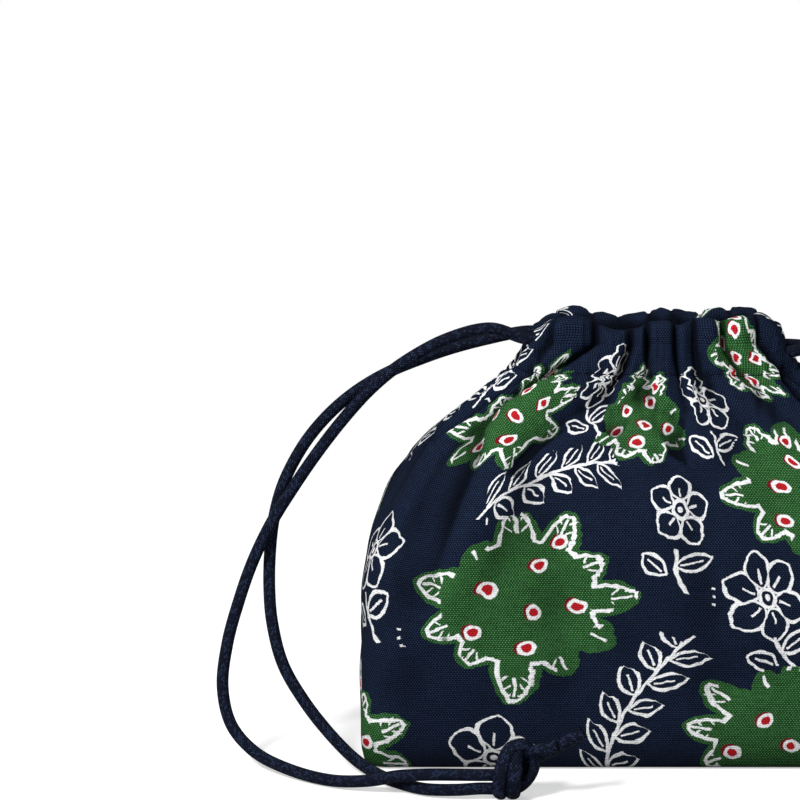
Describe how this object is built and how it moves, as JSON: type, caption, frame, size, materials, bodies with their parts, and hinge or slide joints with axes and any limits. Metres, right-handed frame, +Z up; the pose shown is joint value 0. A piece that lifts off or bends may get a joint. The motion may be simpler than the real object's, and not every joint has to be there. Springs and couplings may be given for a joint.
{
  "type": "drawstring pouch",
  "caption": "Small cloth drawstring pouch with a flat bottom, drawn shut at a gathered casing, a knotted cord at each side.",
  "frame": {"origin": "middle of the flat bottom, on the surface the pouch stands on", "axes": "+Z up out of the mouth, +X along the width to the side with the label, -Y to the front"},
  "size_m": [0.2904, 0.1407, 0.1456],
  "materials": {
    "canvas": "matte printed cotton canvas",
    "cord": "braided cotton cord, slight sheen",
    "tape": "matte woven tape"
  },
  "bodies": {
    "root": {"pouch_body": "canvas", "left_drawstring_in_casing": "cord", "left_drawstring_front_strand": "cord", "left_drawstring_back_strand": "cord", "left_drawstring_knot": "cord", "right_drawstring_in_casing": "cord", "right_drawstring_front_strand": "cord", "right_drawstring_back_strand": "cord", "right_drawstring_knot": "cord", "side_label": "tape"}
  },
  "joints": []
}
